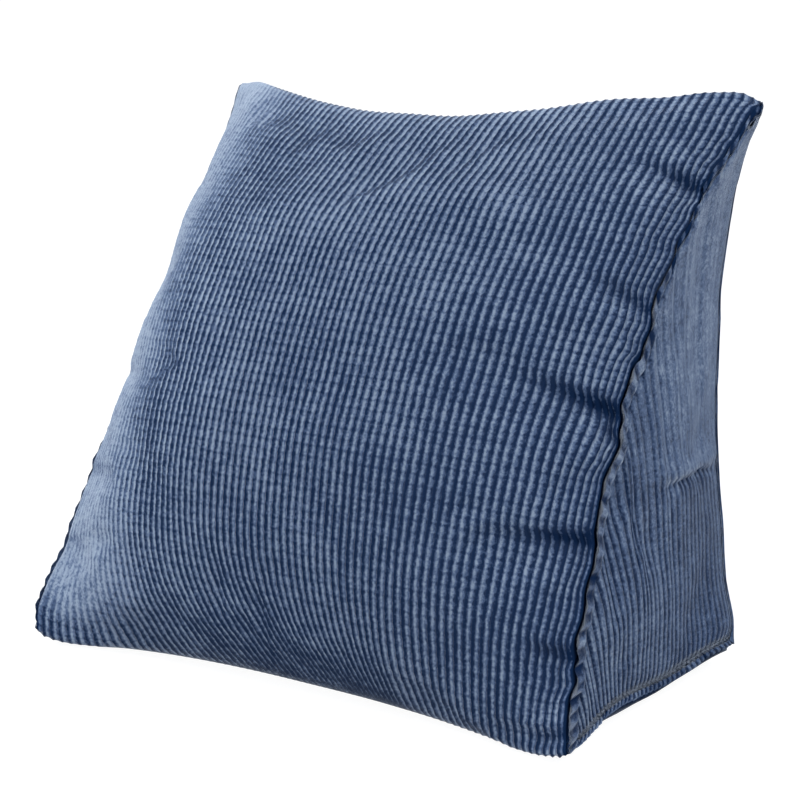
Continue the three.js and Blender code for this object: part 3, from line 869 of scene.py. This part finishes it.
def settled(cover, parts):
    """How far the coarse cover's points move, in millimetres, when it settles as cloth: blown up
    from inside, held on the floor and drawn together along the seams."""
    skin = cover.make_object("settling_skin")
    rest = np.concatenate(cover.points)
    strip = parts["strip"]
    held = skin.vertex_groups.new(name="held")
    held.add(np.flatnonzero(rest[:, 2] < PRESS).tolist(), 1.0, "REPLACE")
    seams = skin.vertex_groups.new(name="seams")
    for station, pull in enumerate(SETTLE_PULLS):
        seams.add(strip[[station, -1 - station]].ravel().tolist(), pull, "REPLACE")

    cloth = skin.modifiers.new("cloth", "CLOTH")
    for setting, value in SETTLE_CLOTH.items():
        setattr(cloth.settings, setting, value)
    cloth.settings.use_pressure = True
    cloth.settings.uniform_pressure_force = SETTLE_PRESSURE
    cloth.settings.effector_weights.gravity = 0
    cloth.settings.vertex_group_mass = held.name
    cloth.settings.vertex_group_shrink = seams.name
    cloth.settings.shrink_max = SETTLE_SEAM_SHRINK
    cloth.collision_settings.use_collision = False
    cloth.point_cache.frame_start = 1
    cloth.point_cache.frame_end = SETTLE_FRAMES
    for moment in range(1, SETTLE_FRAMES + 1):
        bpy.context.scene.frame_set(moment)
    shaped = skin.evaluated_get(bpy.context.evaluated_depsgraph_get()).data
    ends = np.empty(rest.size, dtype=np.float32)
    shaped.vertices.foreach_get("co", ends)
    mesh = skin.data
    bpy.data.objects.remove(skin)
    bpy.data.meshes.remove(mesh)
    bpy.context.scene.frame_set(1)
    return ends.reshape(-1, 3) / MM - rest


def wrinkles_only(moved):
    """What is left of a movement without its broad swelling, held within the limit."""
    fine = moved - blurred(moved, SETTLE_BROAD)
    size = np.linalg.norm(fine, axis=-1, keepdims=True)
    return fine * (SETTLE_LIMIT / np.maximum(size, SETTLE_LIMIT))


def cloth_wrinkles():
    """The wrinkles of the simulated coarse cover, carried over to the fine strip and panels."""
    panel_shape = (panel_s.size, panel_rows.size, 3)
    shapes = {"strip": (fine_ribs.size, fine_rows.size, 3), -1: panel_shape, 1: panel_shape}
    whole_ribs = np.arange(RIB_COUNT + 1.0)
    strip_rows = fine_rows[::COARSE_ROWS]
    cover, parts = build_cover(
        whole_ribs, strip_rows, strip_rows, ROLL_ANGLES[-1:],
        panel_s[::COARSE_PANEL_COLUMNS], panel_rows[::COARSE_ROWS], {},
    )
    moved = settled(cover, parts)
    wrinkles = {}
    for part, numbers in parts.items():
        on_strip = part == "strip"
        across = fine_ribs if on_strip else np.arange(panel_s.size) / COARSE_PANEL_COLUMNS
        along = np.arange(shapes[part][1]) / COARSE_ROWS
        coarse = wrinkles_only(moved[numbers])
        stations = spline_lookup(coarse, across, axis=0, wraps=False)
        wrinkles[part] = spline_lookup(stations, along, axis=1, wraps=on_strip)
    return wrinkles


# Materials

class Wire:
    """A socket in a material's nodes. Arithmetic on wires adds Math nodes."""

    def __init__(self, tree, socket=None):
        self.tree = tree
        self.socket = socket

    def node(self, kind, settings=None, sockets=None, output=0):
        """Adds a node: its settings are set first, then values or links of its input sockets."""
        made = self.tree.nodes.new(kind)
        for name, value in (settings or {}).items():
            setattr(made, name, value)
        for name, value in (sockets or {}).items():
            if isinstance(value, Wire):
                self.tree.links.new(value.socket, made.inputs[name])
            else:
                made.inputs[name].default_value = value
        return Wire(self.tree, made.outputs[output] if len(made.outputs) else None)

    def math(self, operation, *values):
        """A Math node on numbers and wires."""
        return self.node("ShaderNodeMath", {"operation": operation}, dict(enumerate(values)))

    def __add__(self, other):
        return self.math("ADD", self, other)

    __radd__ = __add__

    def __sub__(self, other):
        return self.math("SUBTRACT", self, other)

    def __rsub__(self, other):
        return self.math("SUBTRACT", other, self)

    def __mul__(self, other):
        return self.math("MULTIPLY", self, other)

    def step(self, start, end):
        """Goes smoothly from 0 where this is start to 1 where it is end."""
        sockets = {"Value": self, "From Min": start, "From Max": end}
        return self.node("ShaderNodeMapRange", {"interpolation_type": "SMOOTHSTEP"}, sockets)

    def mix(self, first, second):
        """The colour that goes from first to second as this goes from 0 to 1."""
        sockets = {0: self, 6: first, 7: second}
        return self.node("ShaderNodeMix", {"data_type": "RGBA"}, sockets, output=2)

    def noise(self, scale, detail=2.0):
        """Noise in space, about 0.5, at this vector's places."""
        sockets = {"Vector": self, "Scale": scale, "Detail": detail}
        return self.node("ShaderNodeTexNoise", sockets=sockets)

    def part(self, axis):
        """One part, X, Y or Z, of this vector."""
        return self.node("ShaderNodeSeparateXYZ", sockets={"Vector": self}, output=axis)

    def look(self, name):
        """One of the looks that the cover's points carry."""
        return self.node("ShaderNodeAttribute", {"attribute_name": name}, output="Fac")


def new_material(name):
    """An empty material and the wire that its nodes start from."""
    material = bpy.data.materials.new(name)
    material.use_nodes = True
    material.node_tree.nodes.clear()
    return material, Wire(material.node_tree)


# Colours of the pile: painted shade at the dark end, the cloth's own blue in the middle, painted light at
# the pale end
PAINTED_SHADE_BLUE = (0.006, 0.0185, 0.056, 1)
PILE_BLUE = (0.07, 0.11, 0.204, 1)
PAINTED_LIGHT_BLUE = (0.25, 0.31, 0.41, 1)
SHEEN_BLUE = (0.66, 0.74, 0.88, 1)

# Unevenness of the pile: about how many of each there are to a metre
CLOUDS = 9
BRUSHED = 45
MOTTLE = 150
WOBBLE = 160
FUZZ = 420
FIBRES = 2600

# What each adds to the cloth's lightness, which goes from about 0 in a furrow to 1 on pale pile. The
# rib's light band, the top left's light and the hollows' shade are painted light and shade, and the tone
# is painted light and shade with some of the nap's own difference between a panel's pieces; nicks,
# clouds, brushing and fuzz are the cloth's own.
LIGHTNESS = {
    "even": 0.482, "painted_rib_light": 0.9, "nick": -0.17, "nick_right": -0.33, "clouds": 0.14, "brushed": 0.16,
    "fuzz": 1.3, "tone": 0.12, "hollow": -0.6, "raised": 0.24,
}


def ribbed_velvet():
    """Blue velvet with nicked ribs and light and shade painted on each rib: painted shade in the
    furrows and on the right side of each rib, and a painted light band on its left side, wider at
    the top right. Nicks are faint, the nap is brushed into soft clouds, with a fine fuzz, and
    painted light makes it paler towards the top left. Where shade is painted, in hollows and
    furrows, the sheen is left out too."""
    material, start = new_material("ribbed_blue_velvet")
    space = start.node("ShaderNodeTexCoord", output="Object")
    uv = start.node("ShaderNodeUVMap", {"uv_map": "ribs"})
    x, z = space.part("X"), space.part("Z")
    tone, hollow, ribbing = map(start.look, Cover.LOOKS)

    wobble = space.noise(WOBBLE) - 0.5
    ribs = uv.part("X") + wobble * 0.2
    from_furrow = ribs.math("PINGPONG", ribs, 0.5)
    from_nick = ribs.math("PINGPONG", uv.part("Y") + wobble * 0.3, 0.5)
    nick = 1 - from_nick.step(0.0, 0.22)
    crest = from_furrow.step(0.02, 0.3)
    across = ribs.math("FRACT", ribs)
    # painted light band on each rib's left side, wider towards the top right, and painted shade on its
    # right side and in the furrow
    wider_painted_band = (x + z * 0.6).step(0.1, 0.4) * 0.12
    painted_rib_light = across.step(0.07, 0.36) * (1 - (across - wider_painted_band).step(0.28, 0.88)) - 0.5
    right_side = across.step(0.55, 0.8)

    clouds = space.noise(CLOUDS, 3.0).step(0.32, 0.68) - 0.5
    brushed = space.noise(BRUSHED, 3.0).step(0.35, 0.7) - 0.5
    fuzz = space.noise(FUZZ, 3.0) - 0.5
    mottle = (space.noise(MOTTLE) - 0.5) * (1 - ribbing)
    # painted light: paler towards the top left
    raised = (z * 0.5 - x * 0.6).step(-0.2, 0.45) - 0.45
    nicked = nick * (right_side * LIGHTNESS["nick_right"] + LIGHTNESS["nick"])
    light = (painted_rib_light * LIGHTNESS["painted_rib_light"] + nicked) * ribbing + mottle + LIGHTNESS["even"]
    light = light + clouds * LIGHTNESS["clouds"] + brushed * LIGHTNESS["brushed"]
    light = light + fuzz * LIGHTNESS["fuzz"] + raised * LIGHTNESS["raised"]
    light = light + tone * LIGHTNESS["tone"] + hollow * LIGHTNESS["hollow"]
    # from painted shade through the cloth's own blue to painted light
    shaded = light.step(-0.05, 0.6).mix(PAINTED_SHADE_BLUE, PILE_BLUE)
    colour = light.step(0.45, 1.1).mix(shaded, PAINTED_LIGHT_BLUE)

    relief = crest * ribbing * 0.4 + fuzz * 0.8 + (space.noise(FIBRES) - 0.5) * 0.5
    bump = start.node("ShaderNodeBump", sockets={"Strength": 0.5, "Distance": 1.2 * MM, "Height": relief})
    pile_surface = start.node("ShaderNodeBsdfPrincipled", sockets={
        "Base Color": colour,
        "Roughness": 0.95 - crest * 0.1,
        "Normal": bump,
        "Specular IOR Level": 0.15,
        "Sheen Weight": 0.75,
        "Sheen Roughness": 0.35,
        "Sheen Tint": SHEEN_BLUE,
    })
    ground = start.node("ShaderNodeBsdfDiffuse", sockets={"Color": colour, "Normal": bump})
    # painted shade: in furrows and hollows a plain surface without sheen is mixed in
    furrow = (1 - from_furrow.step(0.0, 0.2)) * ribbing * 0.6
    depth = furrow.math("MAXIMUM", furrow, hollow.step(0.2, 0.9))
    surface = start.node("ShaderNodeMixShader", sockets={0: depth, 1: pile_surface, 2: ground})
    start.node("ShaderNodeOutputMaterial", sockets={"Surface": surface})
    return material


def plain_floor():
    """A matt white floor that is lit from below, as a light table is, so that shadows stay faint."""
    material, start = new_material("pale_floor")
    surface = start.node("ShaderNodeBsdfPrincipled", sockets={
        "Base Color": (0.2, 0.2, 0.2, 1),
        "Roughness": 0.95,
        "Specular IOR Level": 0.05,
        "Emission Color": (1, 1, 1, 1),
        "Emission Strength": 0.93,
    })
    start.node("ShaderNodeOutputMaterial", sockets={"Surface": surface})
    return material


finished_cover, _ = build_cover(
    fine_ribs, fine_rows, fine_roll_rows, ROLL_ANGLES, panel_s, panel_rows, cloth_wrinkles(),
)
cushion = finished_cover.make_object("cushion_cover")
cushion.data.materials.append(ribbed_velvet())
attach(cushion, "root")
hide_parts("cushion")

# Floor, light and camera
FLOOR_HALF = 30000
floor_mesh = bpy.data.meshes.new("floor")
floor_corners = np.array([[-1, -1, 0], [1, -1, 0], [1, 1, 0], [-1, 1, 0]]) * FLOOR_HALF * MM
floor_mesh.from_pydata(floor_corners.tolist(), [], [[0, 1, 2, 3]])
floor = bpy.data.objects.new("floor", floor_mesh)
floor_mesh.materials.append(plain_floor())
bpy.context.scene.collection.objects.link(floor)
floor.visible_diffuse = False


def look_from(azimuth, elevation):
    """Right, up and back directions of a viewer at an azimuth and elevation in degrees, where 0,0
    looks along +Y from the front."""
    turn, tilt = math.radians(azimuth), math.radians(elevation)
    right = np.array([math.cos(turn), math.sin(turn), 0])
    level = np.array([math.sin(turn), -math.cos(turn), 0])
    back = level * math.cos(tilt) + [0, 0, math.sin(tilt)]
    return right, np.cross(back, right), back


def place(made, azimuth, elevation, distance, aim, across=0, upwards=0):
    """Puts an object at a distance from an aim point, turned to look at it, and shifts it."""
    right, up, back = look_from(azimuth, elevation)
    spot = (aim + back * distance + right * across + up * upwards) * MM
    axes = np.column_stack([right, up, back, spot])
    made.matrix_world = Matrix(np.vstack([axes, [0, 0, 0, 1]]).tolist())


AIM = np.array([0, 0, 240])
CAMERA = {"azimuth": 33.8, "elevation": 12.52, "distance": 1955, "across": 20.2, "upwards": -12}
PHOTO_SIDE = 800  # in pixels, as the focal length below
FOCAL_PIXELS = 2300
FARTHEST_SEEN = 200000
camera_data = bpy.data.cameras.new("camera")
camera_data.sensor_width = 36
camera_data.lens = FOCAL_PIXELS / PHOTO_SIDE * camera_data.sensor_width
camera_data.clip_end = FARTHEST_SEEN * MM
camera = bpy.data.objects.new("camera", camera_data)
bpy.context.scene.collection.objects.link(camera)
bpy.context.scene.camera = camera
place(camera, aim=AIM, **CAMERA)

LIGHTS = [
    {"name": "key_left", "azimuth": -60, "elevation": 40, "distance": 2200, "side": 1000, "watts": 36,
     "colour": (1, 0.97, 0.9)},
    {"name": "fill_front", "azimuth": 16, "elevation": 4, "distance": 2600, "side": 1600, "watts": 50,
     "colour": (1, 0.98, 0.94)},
    {"name": "fill_right", "azimuth": 110, "elevation": 45, "distance": 2400, "side": 1400, "watts": 29,
     "colour": (1, 0.98, 0.94)},
]
for row in LIGHTS:
    lamp_data = bpy.data.lights.new(row["name"], "AREA")
    lamp_data.size = row["side"] * MM
    lamp_data.energy = row["watts"]
    lamp_data.color = row["colour"]
    lamp = bpy.data.objects.new(row["name"], lamp_data)
    bpy.context.scene.collection.objects.link(lamp)
    place(lamp, row["azimuth"], row["elevation"], row["distance"], AIM)

WORLD_STRENGTH = 0.54
WORLD_LOW = 0.2  # from below
WORLD_FADE = (-0.5, 0.15)  # between these heights of a direction
world = bpy.data.worlds.new("studio")
world.use_nodes = True
world.node_tree.nodes.clear()
sky = Wire(world.node_tree)
overhead = sky.node("ShaderNodeTexCoord", output="Generated").part("Z").step(*WORLD_FADE)
studio_light = sky.node("ShaderNodeBackground", sockets={
    "Color": (0.84, 0.97, 1.15, 1),
    "Strength": WORLD_LOW + overhead * (WORLD_STRENGTH - WORLD_LOW),
})
sky.node("ShaderNodeOutputWorld", sockets={"Surface": studio_light})
bpy.context.scene.world = world
bpy.context.scene.view_settings.view_transform = "Standard"
